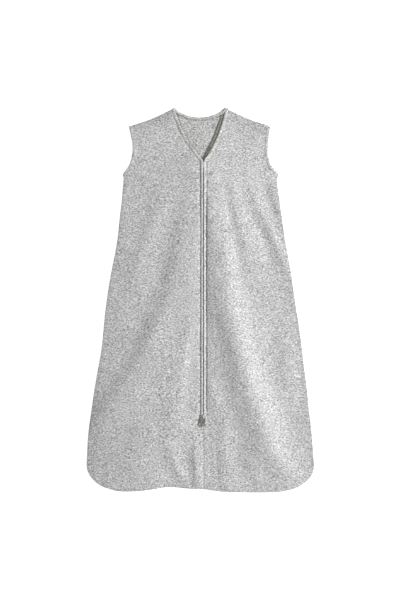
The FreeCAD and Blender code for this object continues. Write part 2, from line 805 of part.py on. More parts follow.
def check():
    """Stop if any object failed or any sub-part is empty or not valid."""
    for thing in doc.Objects:
        if "Invalid" in thing.State or "Error" in thing.State:
            raise RuntimeError(f"{thing.Name}: {thing.State}")
    for thing in sub_parts:
        if thing.Shape.isNull() or not thing.Shape.isValid():
            raise RuntimeError(f"{thing.Label}: bad shape")


def export():
    os.makedirs("parts", exist_ok=True)
    for thing in sub_parts:
        thing.Shape.exportStep(f"parts/{thing.Label}.step")


build()
doc.recompute()
check()
export()
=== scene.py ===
import math
import bpy
import numpy as np
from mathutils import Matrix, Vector, geometry


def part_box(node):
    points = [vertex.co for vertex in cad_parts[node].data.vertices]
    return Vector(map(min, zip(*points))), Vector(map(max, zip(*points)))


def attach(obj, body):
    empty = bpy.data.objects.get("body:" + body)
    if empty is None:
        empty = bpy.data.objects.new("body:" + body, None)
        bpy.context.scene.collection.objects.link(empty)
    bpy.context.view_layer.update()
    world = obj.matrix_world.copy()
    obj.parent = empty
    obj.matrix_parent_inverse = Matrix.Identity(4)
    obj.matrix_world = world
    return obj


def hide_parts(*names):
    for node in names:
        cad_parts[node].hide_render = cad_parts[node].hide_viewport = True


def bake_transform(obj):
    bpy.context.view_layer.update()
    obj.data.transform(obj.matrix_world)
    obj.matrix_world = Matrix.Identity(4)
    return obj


# Baby sleeping bag, laid on its back: knit cloth drawn as two layers with soft
# folds, bound edges, and a coil zip under two fabric lips.
# Lengths are in millimetres until a mesh is made.  "Across" is the distance
# from the zip line, positive to the right.

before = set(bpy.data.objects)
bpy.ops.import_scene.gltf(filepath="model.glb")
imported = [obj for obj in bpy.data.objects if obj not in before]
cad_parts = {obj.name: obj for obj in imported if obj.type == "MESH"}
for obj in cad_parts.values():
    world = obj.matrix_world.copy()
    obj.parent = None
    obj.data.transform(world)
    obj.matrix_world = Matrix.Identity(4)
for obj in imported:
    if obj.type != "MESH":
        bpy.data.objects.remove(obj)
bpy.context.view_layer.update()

MM = 0.001


def node_box(node):
    """Lowest and highest corner of a CAD node, in millimetres."""
    low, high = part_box(node)
    return np.array(low) / MM, np.array(high) / MM


# ---------------------------------------------------------------- sizes

BACK_LOW, BACK_HIGH = node_box("back_panel")
TAPE_LOW, TAPE_HIGH = node_box("zip_tape_right")
COIL_LOW, COIL_HIGH = node_box("zip_coil_right")
SLIDER_LOW, SLIDER_HIGH = node_box("slider_body")

HALF_WIDTH = BACK_HIGH[0]
HEM = BACK_LOW[1]
NECK = -HEM
ZIP_X = (SLIDER_LOW[0] + SLIDER_HIGH[0]) / 2
SLIDER_Y = (SLIDER_LOW[1] + SLIDER_HIGH[1]) / 2
TAPE_Z = (TAPE_LOW[2] + TAPE_HIGH[2]) / 2

LEFT, RIGHT = -1, 1

# Outline: neck points, shoulder tips, narrowest place of the armholes, armpits, hips.
NECK_HALF = 50
NECK_DIP = 17.5
SHOULDER = (137, NECK - 38)
SHOULDER_BOW = (0.6, -1.5)
ARMHOLE = (131.5, NECK - 82)
ARMPIT = (151, NECK - 129)
BELOW_ARMPIT = (ARMPIT[0] - 1.5, ARMPIT[1] - 8)
HIP = (HALF_WIDTH - 7, HEM + 150)
HIP_BULGE = 2
CORNER_RADIUS = 63

# The open V, whose edges bow outwards, and the slot for the zip.
V_FOOT = (ZIP_X, NECK - 103.5)
V_BOW = {LEFT: -27.7, RIGHT: 34.2}
V_BOW_RISE = 48.5
SLOT_FOOT = -243
SLOT_HALF = 6.4
SEAM_GAP = 0.15

CLOTH = 0.9
EDGE_STEP = 3.0
BINDING = 6
BINDING_THICK = 2.0
BACK_BINDING_THICK = 1.9
ARMHOLE_BAND = 6.5
ARMHOLE_BAND_THICK = 1.6
SEAM_ALLOWANCE = (-19, 22)

# Lips over the zip: section as (distance from the zip line, height over LIP_Z), all
# round from the lower inner corner, and how far the slider pushes each lip aside.
LIP_Z = 14.9
LIP_INNER = {LEFT: 1.6, RIGHT: 0.15}
LIP_OUTER = 7.3
LIP_PUSH = {LEFT: 0.6, RIGHT: 1.6}
LIP_RISE_AT_SLIDER = 0.4
LIP_SECTION = {
    LEFT: [(1.6, 0.8), (1.75, 1.35), (2.3, 1.75), (3.6, 1.85), (5.0, 1.7), (6.0, 1.1),
           (6.7, -0.5), (6.0, -0.7), (4.8, 0.5), (3.4, 0.75), (2.2, 0.6)],
    RIGHT: [(-0.3, 0.9), (-0.2, 1.7), (0.1, 2.15), (0.8, 2.05), (2.5, 1.2), (4.2, 0.3),
            (6.5, -0.45), (5.6, -0.9), (4.0, -0.3), (2.4, 0.5), (1.0, 0.75)],
}


# ---------------------------------------------------------------- curves

def straight(a, b, step=3.0):
    """Points from a to b without b."""
    a, b = np.array(a, float), np.array(b, float)
    count = max(1, round(np.linalg.norm(b - a) / step))
    return a + (b - a) * np.arange(count)[:, None] / count


def arc(a, through, b, step=3.0):
    """Points on the circle from a to b without b."""
    a, m, b = (np.array(p, float) for p in (a, through, b))
    left = np.array([m - a, b - a])
    right = 0.5 * np.array([m @ m - a @ a, b @ b - a @ a])
    centre = np.linalg.solve(left, right)
    radius = np.linalg.norm(a - centre)
    turn = [math.atan2(*(p - centre)[::-1]) for p in (a, m, b)]
    full = 2 * math.pi
    sweep = (turn[2] - turn[0]) % full
    if (turn[1] - turn[0]) % full > sweep:
        sweep -= full
    count = max(2, round(abs(sweep) * radius / step))
    angles = turn[0] + sweep * np.arange(count) / count
    return centre + radius * np.stack([np.cos(angles), np.sin(angles)], 1)


def smooth_through(points, step=3.0):
    """A rounded curve through a few points, with its last point."""
    knots = np.array(points, float)
    padded = np.vstack([2 * knots[0] - knots[1], knots, 2 * knots[-1] - knots[-2]])
    parts = []
    for a, b, c, d in zip(padded, padded[1:], padded[2:], padded[3:]):
        count = max(2, round(np.linalg.norm(c - b) / step))
        t = np.arange(count)[:, None] / count
        parts.append(0.5 * (2 * b + (c - a) * t + (2 * a - 5 * b + 4 * c - d) * t**2
                            + (3 * b - a - 3 * c + d) * t**3))
    return np.vstack(parts + [knots[-1:]])


def evenly(points, step):
    """The same polyline with points a step apart, ends kept."""
    points = np.array(points, float)
    lengths = np.linalg.norm(np.diff(points, axis=0), axis=1)
    along = np.concatenate([[0], np.cumsum(lengths)])
    places = np.linspace(0, along[-1], max(2, round(along[-1] / step) + 1))
    return np.stack([np.interp(places, along, points[:, k]) for k in range(points.shape[1])], 1)


def smoothstep(low, high, value):
    t = np.clip((value - low) / (high - low), 0, 1)
    return t * t * (3 - 2 * t)


def distance_to(points, line):
    """Distance of each point from a polyline."""
    best = np.full(len(points), 1e9)
    for a, b in zip(line, line[1:]):
        along = b - a
        t = np.clip((points - a) @ along / (along @ along), 0, 1)
        best = np.minimum(best, np.linalg.norm(points - a - t[:, None] * along, axis=1))
    return best


def mirror(points):
    """The mirror image across the middle of the bag, walked the other way round."""
    return (points * [-1, 1])[::-1]


# ---------------------------------------------------------------- outline

def shoulder_line():
    """From the right neck point to the right shoulder tip."""
    middle = ((NECK_HALF + SHOULDER[0]) / 2 + SHOULDER_BOW[0],
              (NECK + SHOULDER[1]) / 2 + SHOULDER_BOW[1])
    return np.vstack([arc((NECK_HALF, NECK), middle, SHOULDER), [SHOULDER]])


def armhole_line():
    """From the right shoulder tip to the right armpit."""
    return smooth_through([SHOULDER, (133.2, SHOULDER[1] - 16), (ARMHOLE[0], ARMHOLE[1] + 12),
                           (132.2, ARMHOLE[1] - 6), (138, ARMHOLE[1] - 28), ARMPIT])


def side_line():
    """From the right armpit down the side and round the corner to the straight hem."""
    widest = (HALF_WIDTH, HEM + CORNER_RADIUS)
    below_hip = ((HIP[0] + widest[0]) / 2 + HIP_BULGE, (HIP[1] + widest[1]) / 2)
    share = CORNER_RADIUS * (1 - math.sqrt(0.5))
    corner = (HALF_WIDTH - share, HEM + share)
    hem_end = (HALF_WIDTH - CORNER_RADIUS, HEM)
    return np.vstack([straight(ARMPIT, BELOW_ARMPIT), straight(BELOW_ARMPIT, HIP),
                      arc(HIP, below_hip, widest), arc(widest, corner, hem_end), [hem_end]])


def back_neck_line():
    """The back's neck edge, from the left neck point to the right one."""
    return np.vstack([arc((-NECK_HALF, NECK), (0, NECK - NECK_DIP), (NECK_HALF, NECK)),
                      [(NECK_HALF, NECK)]])


def v_edge(side):
    """One edge of the V, from its foot at the zip to the neck point."""
    through = (V_BOW[side], V_FOOT[1] + V_BOW_RISE)
    end = (side * NECK_HALF, NECK)
    return np.vstack([arc(V_FOOT, through, end, 2.0), [end]])


def closed_seams():
    """Polylines where the front and the back are sewn together."""
    right = side_line()
    hem = np.array([right[-1], right[-1] * [-1, 1]])
    return [shoulder_line(), mirror(shoulder_line()), right, mirror(right), hem]


SEAMS = closed_seams()


def from_seams(points):
    """Distance of each point from the nearest outer seam."""
    return np.min([distance_to(points, line) for line in SEAMS], axis=0)


def bell(value, middle, width):
    return np.exp(-((value - middle) / width) ** 2)


# Small bends of the laid outline, as (size, middle, width): the hem's along X, upwards;
# the sides' along Y, to the right.
HEM_WAVES = [(9, -57, 42), (4.5, 5, 26), (-1.6, 108, 60), (2.6, -178, 18), (1.6, 172, 18)]
LEFT_WAVES = [(4.6, 120, 62), (3.0, -95, 50), (1.6, 196, 28), (-3.4, -338, 22), (-3.0, 326, 20)]
RIGHT_WAVES = [(4.2, -65, 95), (1.8, -330, 40), (4.4, -342, 22), (2.4, 55, 45),
               (1.6, -175, 45), (3.6, 249, 14), (4.6, 312, 24)]
TIP_RISE = 2.6
HEM_REACH = 28


def waves(value, bends):
    return sum(size * bell(value, middle, width) for size, middle, width in bends)


def moved_hem(points):
    """The plan of the laid cloth: hem, sides and shoulder tips a little bent."""
    x, y = points[:, 0], points[:, 1]
    tips = TIP_RISE * bell(np.abs(x), SHOULDER[0], 26) * smoothstep(290, SHOULDER[1], y)
    left = waves(y, LEFT_WAVES) * smoothstep(-80, -150, x)
    right = waves(y, RIGHT_WAVES) * smoothstep(90, 170, x)
    hem = waves(x, HEM_WAVES) * np.exp(-(y - HEM) / HEM_REACH)
    return points + np.stack([left + right, hem + tips], 1)


# ---------------------------------------------------------------- drape

# Each fold is a ridge given from top to bottom by a few places on its crest:
# x, y, width on the left of the crest, width on its right, height.
FOLDS = [
    [(40, 215, 20, 11, 0.5), (44, 160, 26, 12, 4.6), (50, 100, 25, 14, 7.4),
     (56, 0, 23, 18, 11.0), (67, -60, 22, 18, 12.4), (77, -100, 24, 19, 13.4),
     (95, -165, 27, 20, 13.4), (124, -250, 27, 20, 12.0), (139, -300, 27, 21, 9.0),
     (156, -350, 22, 23, 4.8)],
    [(61, 250, 8, 9, 0.6), (68, 200, 8, 10, 3.2), (77, 150, 8, 15, 4.6),
     (90, 100, 9, 22, 4.8), (99, 50, 9, 24, 3.0), (106, 0, 9, 24, 0.6)],
    [(98, 235, 14, 9, 0.5), (112, 190, 13, 9, 3.4), (126, 160, 10, 9, 4.2),
     (139, 134, 8, 8, 5.2), (151, 104, 8, 9, 6.0), (164, 74, 9, 10, 6.0),
     (175, 44, 9, 10, 4.4), (184, 10, 10, 9, 0.4)],
    [(133, 243, 7, 6, 0.4), (146, 206, 6, 6, 3.0), (153, 180, 6, 6, 3.0),
     (158, 150, 6, 6, 0.4)],
    [(163, -40, 13, 18, 0.4), (167, -95, 14, 18, 4.0), (172, -150, 14, 18, 4.2),
     (178, -215, 14, 16, 0.4)],
    [(18, -140, 8, 8, 0.2), (23, -165, 8, 8, 1.2), (31, -196, 8, 8, 2.0),
     (41, -230, 8, 13, 2.2), (48, -262, 8, 13, 1.6), (52, -290, 8, 13, 0.2)],
    [(42, -245, 8, 14, 0.4), (45, -290, 8, 17, 2.0), (47, -340, 9, 13, 2.8),
     (49, -376, 9, 9, 2.6)],
    [(80, -285, 9, 11, 0.4), (92, -312, 9, 12, 2.2), (108, -345, 9, 12, 2.4),
     (118, -372, 9, 12, 1.6)],
    [(-57, 240, 11, 13, 0.3), (-74, 195, 11, 13, 2.2), (-88, 160, 11, 13, 2.2),
     (-104, 122, 11, 14, 2.0), (-120, 88, 11, 14, 2.2), (-130, 50, 10, 14, 1.4),
     (-134, 0, 10, 14, 0.2)],
    [(-26, 185, 10, 12, 0.4), (-34, 140, 11, 13, 2.4), (-42, 100, 13, 15, 3.8),
     (-50, 50, 14, 17, 4.6), (-60, 10, 15, 18, 5.4), (-84, -50, 15, 22, 6.2),
     (-104, -92, 15, 30, 6.4), (-124, -132, 15, 38, 6.6), (-150, -172, 15, 42, 6.8),
     (-186, -212, 15, 42, 6.6), (-215, -240, 15, 22, 4.0)],
    [(-17, 150, 8, 7, 0.5), (-18, 90, 11, 8, 1.5), (-20, 0, 16, 8, 1.6),
     (-24, -50, 20, 9, 2.2), (-32, -110, 26, 9, 3.2), (-40, -170, 30, 11, 3.6),
     (-50, -230, 30, 14, 3.8), (-55, -280, 24, 14, 3.4), (-57, -315, 14, 11, 0.8)],
    [(-13, -262, 7, 9, 0.4), (-12, -290, 7, 10, 2.2), (-7, -330, 7, 10, 2.6),
     (-4, -376, 7, 10, 2.4)],
    [(-62, -275, 9, 8, 0.3), (-52, -305, 9, 8, 2.6), (-43, -332, 8, 8, 3.2),
     (-32, -362, 8, 8, 2.6), (-29, -376, 8, 8, 2.4)],
    [(-118, -190, 50, 36, 2.0), (-118, -240, 56, 36, 4.6), (-110, -300, 56, 34, 6.4),
     (-104, -345, 48, 28, 6.0), (-100, -376, 40, 24, 5.0)],
]
FOLD_FADE = 45


def fold_height(points, places):
    """A ridge that dies out above and below, steeper on the side with the smaller width."""
    line = smooth_through(places, 8.0)
    x, y = points[:, 0], points[:, 1]
    down = -line[:, 1]
    crest_x, left, right, height = (np.interp(-y, down, line[:, k]) for k in (0, 2, 3, 4))
    lean = np.interp(-y, down, np.gradient(line[:, 0], line[:, 1]))
    off = (x - crest_x) / np.sqrt(1 + lean**2)
    width = np.where(off < 0, left, right)
    top, foot = places[0][1], places[-1][1]
    ends = smoothstep(top + FOLD_FADE, top, y)
    if foot > HEM + 20:
        ends = ends * smoothstep(foot - FOLD_FADE, foot, y)
    return height * ends * np.exp(-0.5 * (off / width) ** 2)


def unevenness(points, seed, height, shortest, longest, count=26):
    """Gentle waves of many lengths and directions, drawn from a fixed seed."""
    chance = np.random.default_rng(seed)
    total = np.zeros(len(points))
    for _ in range(count):
        length = chance.uniform(shortest, longest)
        angle = chance.uniform(0, math.pi)
        shift = chance.uniform(0, 2 * math.pi)
        way = np.array([math.cos(angle), math.sin(angle)])
        total += np.sin(points @ way * 2 * math.pi / length + shift) * length / longest
    return total * height / math.sqrt(count / 2)


def edge_lift(points, inside):
    """How far the sewn edges stand off the floor: neck points, sides, shoulders."""
    x, y = points[:, 0], points[:, 1]
    neck = 5.0 * np.exp(-(np.hypot(np.abs(x) - NECK_HALF, y - NECK) / 24) ** 2)
    right_side = 5.0 * smoothstep(245, 215, y) * smoothstep(-345, -280, y) * (x > 0)
    left_armpit = 2.2 * bell(y, 190, 70) * (x < 0)
    shoulder = 2.4 * bell(x, 108, 34) * (y > ARMPIT[1])
    return (neck + shoulder * np.exp(-inside / 15)
            + (right_side + left_armpit) * np.exp(-inside / 30))


def loft(points, inside):
    """Rise of the front from its seams; the right side starts flatter."""
    steep = 1 - np.exp(-inside / 62)
    flat = 1 - np.exp(-(inside / 78) ** 2)
    on_right = smoothstep(60, 130, points[:, 0]) * smoothstep(300, 220, points[:, 1])
    return 7.6 * ((1 - on_right) * steep + on_right * flat)


def zip_lift(across, y, inside):
    """The stiff zip holds the cloth up, in a wider ridge lower down."""
    width = 52 + 58 * smoothstep(40, -90, y)
    return (5.4 * bell(across, 0, width) * smoothstep(-375, -255, y)
            * (1 - np.exp(-inside / 32)))


def front_height(points):
    """Height of the middle of the front cloth."""
    across = points[:, 0] - ZIP_X
    y = points[:, 1]
    inside = from_seams(points)
    rim = 2.45 + 0.4 * (1 - np.exp(-inside / 1.2)) + edge_lift(points, inside)
    raised = loft(points, inside) + zip_lift(across, y, inside)
    loose = (1 - np.exp(-inside / 14)) * (1 - bell(across, 0, 8) * smoothstep(-300, -245, y))
    folds = sum(fold_height(points, places) for places in FOLDS)
    folds = folds + unevenness(points, 7, 0.45, 30, 110)
    return rim + raised + folds * loose - v_droop(points) + seam_relief(across, y)


def v_droop(points):
    """The cloth sinks towards the V, and dips beside the lips and the binding."""
    across, y = points[:, 0] - ZIP_X, points[:, 1]
    near = np.min([distance_to(points, v_edge(side)[::4]) for side in (LEFT, RIGHT)], axis=0)
    sink = 2.4 * np.exp(-near / 22) * smoothstep(V_FOOT[1] + 6, V_FOOT[1] + 45, y)
    on_zip = (smoothstep(SLOT_FOOT - 6, SLOT_FOOT + 4, y)
              * smoothstep(V_FOOT[1] + 4, V_FOOT[1] - 8, y))
    ditches = 1.1 * bell(across, -LIP_OUTER, 1.7) + 0.2 * bell(across, LIP_OUTER, 1.6)
    on_v = smoothstep(V_FOOT[1] - 4, V_FOOT[1] + 6, y)
    neck_ditch = 0.5 * bell(near, BINDING + 0.4, 1.1)
    return sink + ditches * on_zip + neck_ditch * on_v


def seam_relief(across, y):
    """The centre seam's groove, and the edges of the allowances pressed behind it."""
    below = smoothstep(SLOT_FOOT + 2, SLOT_FOOT - 8, y)
    low, high = SEAM_ALLOWANCE
    plate = (smoothstep(low - 1.5, low + 0.5, across)
             * smoothstep(high + 1.5, high - 0.5, across))
    return below * (0.55 * plate - 0.5 * bell(across, -1.2, 1.1))


def back_height(points):
    """Height of the middle of the back cloth, which swells inside the V."""
    inside = from_seams(points)
    rim = 1.55 - 0.9 * (1 - np.exp(-inside / 1.5)) + edge_lift(points, inside)
    free = 1 - np.exp(-inside / 15)
    under_neck = bell(points[:, 0], V_FOOT[0], 62) * bell(points[:, 1], V_FOOT[1] + 14, 62)
    ditch = 0.8 * bell(distance_to(points, back_neck_line()[::4]), BINDING + 0.5, 1.2)
    waves_of_cloth = unevenness(points, 11, 0.16, 40, 130)
    return rim + free * (0.45 + 7.6 * under_neck - ditch + waves_of_cloth)


# ---------------------------------------------------------------- meshes

def new_piece(name, vertices, faces, smooth=True):
    """A mesh object from points in millimetres."""
    mesh = bpy.data.meshes.new(name)
    mesh.from_pydata((np.asarray(vertices) * MM).tolist(), [], [list(f) for f in faces])
    mesh.validate()
    mesh.polygons.foreach_set("use_smooth", [smooth] * len(mesh.polygons))
    piece = bpy.data.objects.new(name, mesh)
    bpy.context.scene.collection.objects.link(piece)
    return piece


def finished(piece):
    """Put the piece's modifiers into its mesh."""
    graph = bpy.context.evaluated_depsgraph_get()
    mesh = bpy.data.meshes.new_from_object(piece.evaluated_get(graph))
    piece.modifiers.clear()
    piece.data = mesh
    mesh.polygons.foreach_set("use_smooth", [True] * len(mesh.polygons))
    return piece


def grid_faces(rows, columns):
    """Faces of a grid whose points are listed row by row."""
    return [(r * columns + c, r * columns + c + 1,
             (r + 1) * columns + c + 1, (r + 1) * columns + c)
            for r in range(rows - 1) for c in range(columns - 1)]


def inside_polygon(points, loop):
    """Which points lie inside a closed loop."""
    x, y = points[:, 0], points[:, 1]
    result = np.zeros(len(points), bool)
    for (ax, ay), (bx, by) in zip(loop, np.roll(loop, -1, axis=0)):
        if ay == by:
            continue
        crosses = (ay > y) != (by > y)
        result ^= crosses & (x < (bx - ax) * (y - ay) / (by - ay) + ax)
    return result


def inner_ring(loop, depth):
    """The loop moved inwards, without the points that come too near an edge."""
    ahead, behind = np.roll(loop, -1, axis=0), np.roll(loop, 1, axis=0)
    tangent = ahead - behind
    tangent /= np.linalg.norm(tangent, axis=1)[:, None]
    normal = np.stack([-tangent[:, 1], tangent[:, 0]], 1)
    area = np.sum(loop[:, 0] * ahead[:, 1] - ahead[:, 0] * loop[:, 1])
    moved = loop + normal * depth * (1 if area > 0 else -1)
    closed = np.vstack([loop, loop[:1]])
    return moved[distance_to(moved, closed) > depth * 0.93]


RINGS = (0.8, 2.2)


def cloth_points(loop, spacing, extra_lines):
    """Points inside a loop: rings near its edge, given lines, and an even field."""
    closed = np.vstack([loop, loop[:1]])
    kept = [inner_ring(loop, depth) for depth in RINGS]
    for line in extra_lines:
        kept.append(line[distance_to(line, closed) > 3.5])
    kept = [part[inside_polygon(part, loop)] for part in kept if len(part)]
    low, high = loop.min(axis=0), loop.max(axis=0)
    rows = np.arange(low[1], high[1], spacing * math.sqrt(0.75))
    columns = np.arange(low[0], high[0], spacing)
    field = [np.stack([columns + spacing / 2 * (number % 2), np.full(len(columns), row)], 1)
             for number, row in enumerate(rows)]
    field = np.vstack(field)
    field = field[inside_polygon(field, loop)]
    field = field[distance_to(field, closed) > RINGS[-1] + spacing * 0.45]
    for line in extra_lines:
        field = field[distance_to(field, line) > spacing * 0.4]
    return np.vstack(kept + [field])


def cloth_piece(name, loop, height, spacing=4.2, extra_lines=()):
    """A layer of cloth with an exact outline, raised to a height and given thickness."""
    inner = cloth_points(loop, spacing, extra_lines)
    flat = [Vector(p) for p in np.vstack([loop, inner])]
    outline = [list(range(len(loop)))]
    points, _, faces, *_ = geometry.delaunay_2d_cdt(flat, [], outline, 1, 1e-4)
    points = np.array([tuple(p) for p in points])
    piece = new_piece(name, np.column_stack([moved_hem(points), height(points)]), faces)
    # The cloth is darkened near its seams for the allowances beneath, and along the shoulders as
    # painted shade.
    shade = piece.data.attributes.new("allowance_and_painted_shade", "FLOAT", "POINT")
    shade.data.foreach_set("value", allowance_and_painted_shade(points))
    thicken(piece)
    return piece


def allowance_and_painted_shade(points):
    """How much darker the cloth is over seam allowances, plus the painted shade along the
    shoulders.
    """
    inside = from_seams(points)
    shoulders = np.min([distance_to(points, line) for line in SEAMS[:2]], axis=0)
    # The broad band along the shoulders is painted shade; the narrow one by the seams is the
    # allowances.
    return 0.06 * np.exp(-(inside / 7) ** 2) + 0.13 * np.exp(-(shoulders / 24) ** 2)


def thicken(piece, thickness=CLOTH):
    """Give a surface its thickness, half on each side, with closed edges."""
    solid = piece.modifiers.new("thickness", "SOLIDIFY")
    solid.thickness = thickness * MM
    solid.offset = 0
    solid.use_rim = True
    return finished(piece)


def sweep(name, path, profiles):
    """A strip whose section follows a path; profiles are (sideways, up) rings.

    Sideways is to the right of the direction of travel.
    """
    path = np.asarray(path, float)
    profiles = np.asarray(profiles, float)
    if profiles.ndim == 2:
        profiles = np.repeat(profiles[None], len(path), axis=0)
    tangent = np.gradient(path, axis=0)
    tangent /= np.linalg.norm(tangent, axis=1)[:, None]
    side = np.cross(tangent, [0, 0, 1.0])
    side /= np.linalg.norm(side, axis=1)[:, None]
    up = np.cross(side, tangent)
    rings = (path[:, None] + side[:, None] * profiles[:, :, :1] + up[:, None] * profiles[:, :, 1:])
    count, size = profiles.shape[:2]
    faces = []
    for k in range(count - 1):
        for j in range(size):
            following = (j + 1) % size
            faces.append((k * size + j, k * size + following,
                          (k + 1) * size + following, (k + 1) * size + j))
    faces.append(tuple(range(size))[::-1])
    faces.append(tuple((count - 1) * size + j for j in range(size)))
    return new_piece(name, rings.reshape(-1, 3), faces)


def tubes(name, lines, radius, sides=6):
    """Separate round threads in one mesh, thinner at both ends; lines are 3-D points."""
    vertices, faces = [], []
    turns = [2 * math.pi * j / sides for j in range(sides)]
    for line in lines:
        line = np.asarray(line, float)
        tangent = np.gradient(line, axis=0)
        tangent /= np.linalg.norm(tangent, axis=1)[:, None]
        guide = np.array([0, 0, 1.0]) if abs(tangent[0, 2]) < 0.9 else np.array([0, 1.0, 0])
        side = np.cross(tangent, guide)
        side /= np.maximum(np.linalg.norm(side, axis=1), 1e-6)[:, None]
        up = np.cross(side, tangent)
        first = len(vertices)
        share = np.full(len(line), 1.0)
        share[[0, -1]] = 0.45
        for k, point in enumerate(line):
            for turn in turns:
                offset = side[k] * math.cos(turn) + up[k] * math.sin(turn)
                vertices.append(point + offset * radius * share[k])
        for k in range(len(line) - 1):
            for j in range(sides):
                a, b = first + k * sides + j, first + k * sides + (j + 1) % sides
                faces.append((a, b, b + sides, a + sides))
        last = first + (len(line) - 1) * sides
        faces.append(tuple(range(first, first + sides))[::-1])
        faces.append(tuple(range(last, last + sides)))
    return new_piece(name, np.array(vertices), faces)


def stitch_lines(path, length=2.3, pitch=3.1):
    """Short threads in a row along a 3-D path, each sunk at both ends."""
    path = evenly(path, 0.5)
    gap = np.linalg.norm(np.diff(path, axis=0), axis=1)
    along = np.concatenate([[0], np.cumsum(gap)])
    lines = []
    for start in np.arange(pitch / 2, along[-1] - pitch, pitch):
        places = start + np.array([0, 0.2, 0.5, 0.8, 1.0]) * length
        points = np.stack([np.interp(places, along, path[:, k]) for k in range(3)], 1)
        points[:, 2] += np.array([-0.35, 0.0, 0.1, 0.0, -0.35])
        lines.append(points)
    return lines


def on_cloth(path, height, lift=0.0):
    """A flat path laid on a layer of cloth."""
    path = np.asarray(path, float)
    return np.column_stack([moved_hem(path), height(path) + lift])


def offset_path(path, amount):
    """A flat path moved to the right of its direction by an amount."""
    tangent = np.gradient(np.asarray(path, float), axis=0)
    tangent /= np.linalg.norm(tangent, axis=1)[:, None]
    return path + np.stack([tangent[:, 1], -tangent[:, 0]], 1) * amount


# ---------------------------------------------------------------- materials

def shader(name, base_roughness):
    """A new node material; returns the material, its nodes, links and shader."""
    material = bpy.data.materials.new(name)
    material.use_nodes = True
    nodes, links = material.node_tree.nodes, material.node_tree.links
    surface = nodes["Principled BSDF"]
    surface.inputs["Roughness"].default_value = base_roughness
    return material, nodes, links, surface


def noise(nodes, links, vector, scale, detail=2.0, rough=0.5):
    """Cloudy noise between 0 and 1."""
    node = nodes.new("ShaderNodeTexNoise")
    node.inputs["Scale"].default_value = scale
    node.inputs["Detail"].default_value = detail
    node.inputs["Roughness"].default_value = rough
    links.new(vector, node.inputs["Vector"])
    return node.outputs["Fac"]


def stretched(nodes, links, scale, turn=0.0):
    """Object coordinates, stretched and turned about Z."""
    place = nodes.new("ShaderNodeTexCoord")
    mapping = nodes.new("ShaderNodeMapping")
    mapping.inputs["Scale"].default_value = scale
    mapping.inputs["Rotation"].default_value = (0, 0, turn)
    links.new(place.outputs["Object"], mapping.inputs["Vector"])
    return mapping.outputs["Vector"]


def math_node(nodes, links, operation, a, b):
    """One operation on two sockets or numbers."""
    node = nodes.new("ShaderNodeMath")
    node.operation = operation
    for socket, value in zip(node.inputs, (a, b)):
        if isinstance(value, (int, float)):
            socket.default_value = value
        else:
            links.new(value, socket)
    return node.outputs[0]


def ramp(nodes, links, factor, stops):
    """A colour ramp; stops are (position, grey or colour)."""
    node = nodes.new("ShaderNodeValToRGB")
    while len(node.color_ramp.elements) < len(stops):
        node.color_ramp.elements.new(0.5)
    for element, (position, colour) in zip(node.color_ramp.elements, stops):
        if isinstance(colour, (int, float)):
            colour = (colour, colour, colour)
        element.position = position
        element.color = (*colour, 1)
    links.new(factor, node.inputs["Fac"])
    return node.outputs["Color"]


def bump(nodes, links, surface, height, strength, distance):
    """Fine relief in the surface's normal."""
    node = nodes.new("ShaderNodeBump")
    node.inputs["Strength"].default_value = strength
    node.inputs["Distance"].default_value = distance
    links.new(height, node.inputs["Height"])
    links.new(node.outputs["Normal"], surface.inputs["Normal"])


def scaled(nodes, links, value, factor):
    return math_node(nodes, links, "MULTIPLY", value, factor)


def summed(nodes, links, *parts):
    total = parts[0]
    for part in parts[1:]:
        total = math_node(nodes, links, "ADD", total, part)
    return total


def knit_loops(nodes, links, wale, course):
    """Rows of V-shaped loops: 1 on top of the yarn, 0 in the gaps. Sizes in metres."""
    place = nodes.new("ShaderNodeTexCoord")
    split = nodes.new("ShaderNodeSeparateXYZ")
    links.new(place.outputs["Object"], split.inputs["Vector"])
    wander = noise(nodes, links, stretched(nodes, links, (90, 90, 90)), 1.0, 2.0)
    across = summed(nodes, links, split.outputs["X"], scaled(nodes, links, wander, wale * 1.2))
    upward = summed(nodes, links, split.outputs["Y"], scaled(nodes, links, wander, course * 1.6))
    leg = math_node(nodes, links, "PINGPONG", across, wale / 2)
    leg = scaled(nodes, links, leg, 2 / wale)
    phase = summed(nodes, links, scaled(nodes, links, upward, 2 * math.pi / course),
                   scaled(nodes, links, leg, 4.2))
    rows = scaled(nodes, links, math_node(nodes, links, "SINE", phase, 0), 0.5)
    columns = math_node(nodes, links, "SINE", scaled(nodes, links, leg, math.pi), 0)
    return summed(nodes, links, rows, scaled(nodes, links, columns, 0.7))


def darkened(nodes, links, colour, attribute):
    """The colour, darker by the share that a mesh attribute holds."""
    share = nodes.new("ShaderNodeAttribute")
    share.attribute_name = attribute
    mix = nodes.new("ShaderNodeMix")
    mix.data_type = "RGBA"
    mix.blend_type = "MULTIPLY"
    # Its colour sockets share their names with hidden ones, so they are taken by number.
    factor, base, other, result = mix.inputs[0], mix.inputs[6], mix.inputs[7], mix.outputs[2]
    other.default_value = (0, 0, 0, 1)
    links.new(share.outputs["Fac"], factor)
    links.new(colour, base)
    return result


